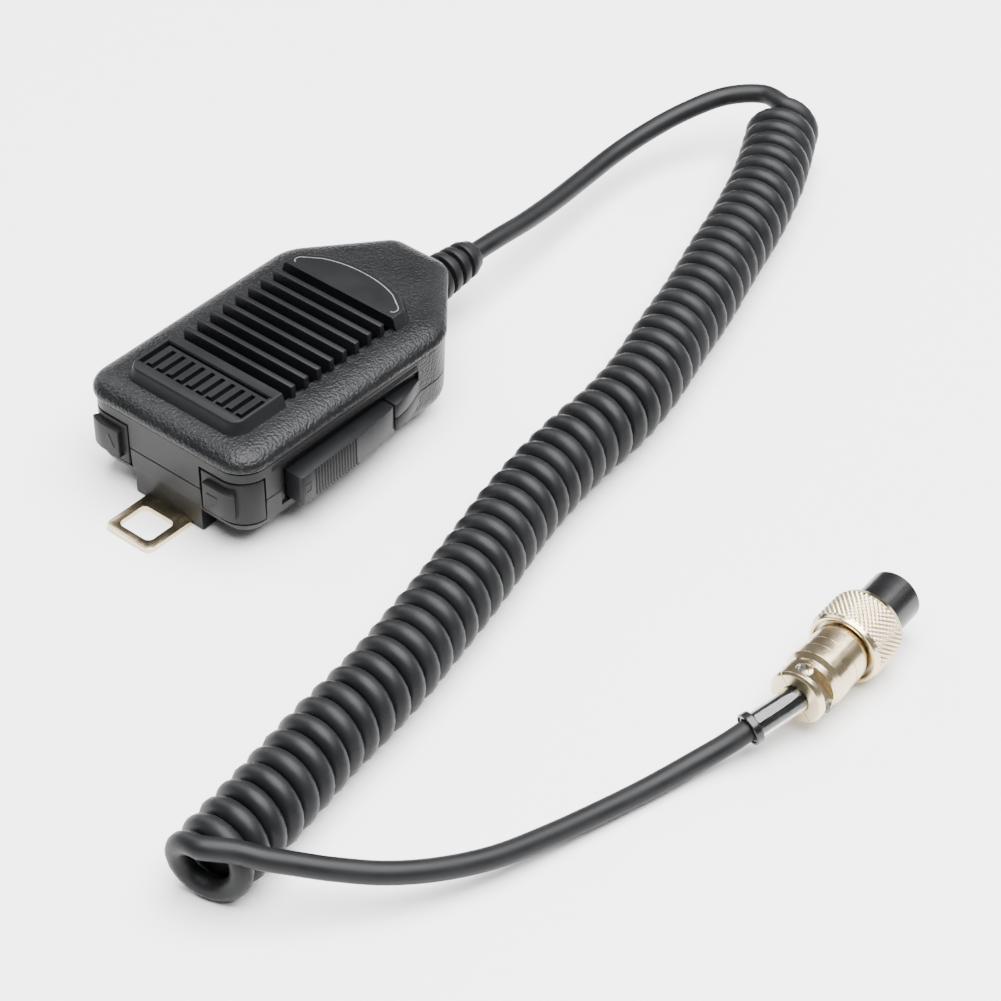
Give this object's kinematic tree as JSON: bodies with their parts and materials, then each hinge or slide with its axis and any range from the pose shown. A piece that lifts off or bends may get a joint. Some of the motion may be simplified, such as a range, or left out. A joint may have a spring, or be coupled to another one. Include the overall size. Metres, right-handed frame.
{
  "type": "hand microphone",
  "caption": "Black hand microphone with a slatted grille, push-to-talk lever, two corner keys, a metal hanger tab and a curly cord with a screw-on plug",
  "frame": {"origin": "middle of the flat back face, on the surface that the microphone lies on", "axes": "+X towards the push-to-talk side, +Y towards the cord end, +Z out of the grille"},
  "size_m": [0.1946, 0.3091, 0.032],
  "materials": {
    "case_top": "moulded with a fine leather grain",
    "case_back": "satin, smooth under the rim",
    "key_plastic": "satin",
    "lever_plastic": "satin with fine grip ribs",
    "switch_plastic": "moulded",
    "insert_plastic": "glossy with shallow flutes",
    "red_plastic": "moulded",
    "white_plastic": "moulded",
    "clear_plastic": "thin clear tube",
    "nickel": "bright warm plating with light wear",
    "steel": "plated",
    "brass": "turned",
    "board": "green lacquer",
    "component": "smooth",
    "resistor": "smooth",
    "capsule": "satin",
    "rubber": "satin",
    "cord": "satin",
    "felt": "matt",
    "wire": "smooth"
  },
  "bodies": {
    "case": {"front_case": "case_top", "back_case": "case_back", "hanger_plate": "nickel", "hanger_screws": "steel", "case_screws": "steel", "lever_pin": "steel", "lever_spring": "steel", "ptt_switch": "switch_plastic", "up_switch": "switch_plastic", "down_switch": "switch_plastic", "circuit_board": "board", "board_screws": "steel", "capacitors": "component", "transistors": "component", "resistors": "resistor", "mic_capsule": "capsule", "capsule_holder": "rubber", "dust_felt": "felt", "capsule_wires": "wire", "core_wires": "wire", "strain_relief": "rubber", "cord_tail": "cord", "cord_clamp": "steel", "cord_clamp_screws": "steel", "upper_lead": "cord", "curly_cord": "cord", "lower_lead": "cord", "clear_sleeve": "clear_plastic", "sleeve_ring": "switch_plastic", "plug_shell": "nickel", "plug_clamp_half": "nickel", "plug_clamp_screws": "steel", "nut_ring": "steel", "plug_insert": "insert_plastic", "plug_contacts": "brass", "plug_wires": "wire"},
    "ptt_lever": {"ptt_lever": "lever_plastic"},
    "ptt_plunger": {"ptt_plunger": "red_plastic"},
    "up_key": {"up_key": "key_plastic"},
    "up_plunger": {"up_plunger": "white_plastic"},
    "down_key": {"down_key": "key_plastic"},
    "down_plunger": {"down_plunger": "white_plastic"},
    "nut_slide": {"nut_washer": "nickel"},
    "coupling_nut": {"coupling_nut": "nickel"}
  },
  "joints": [
    {"name": "ptt_press", "type": "hinge", "parent": "case", "child": "ptt_lever", "pos_m": [0.0225, 0.0004, 0.014], "axis": [0, 0, -1], "range_deg": [0, 3.4], "stiffness_Nm_per_rad": 0.12},
    {"name": "ptt_plunger_slide", "type": "slide", "parent": "case", "child": "ptt_plunger", "axis": [-1, 0, 0], "range_m": [0, 0.00125]},
    {"name": "up_key_press", "type": "hinge", "parent": "case", "child": "up_key", "pos_m": [-0.02025, -0.04025, 0.0195], "axis": [0.7071, -0.7071, 0], "range_deg": [0, 2.5], "stiffness_Nm_per_rad": 0.08},
    {"name": "up_plunger_slide", "type": "slide", "parent": "case", "child": "up_plunger", "axis": [0.7071, 0.7071, 0], "range_m": [0, 0.0003]},
    {"name": "down_key_press", "type": "hinge", "parent": "case", "child": "down_key", "pos_m": [0.02025, -0.04025, 0.0195], "axis": [0.7071, 0.7071, 0], "range_deg": [0, 2.5], "stiffness_Nm_per_rad": 0.08},
    {"name": "down_plunger_slide", "type": "slide", "parent": "case", "child": "down_plunger", "axis": [-0.7071, 0.7071, 0], "range_m": [0, 0.0003]},
    {"name": "nut_travel", "type": "slide", "parent": "case", "child": "nut_slide", "axis": [0.0698, -0.9976, 0], "range_m": [0, 0.004]},
    {"name": "nut_turn", "type": "hinge", "parent": "nut_slide", "child": "coupling_nut", "pos_m": [0.15746, 0.01594, 0.0096], "axis": [-0.0698, 0.9976, 0], "continuous": true}
  ],
  "couplings": [
    {"joint": "ptt_plunger_slide", "follows": "ptt_press", "m_per_rad": 0.0204},
    {"joint": "up_plunger_slide", "follows": "up_key_press", "m_per_rad": 0.0062},
    {"joint": "down_plunger_slide", "follows": "down_key_press", "m_per_rad": 0.0062}
  ]
}
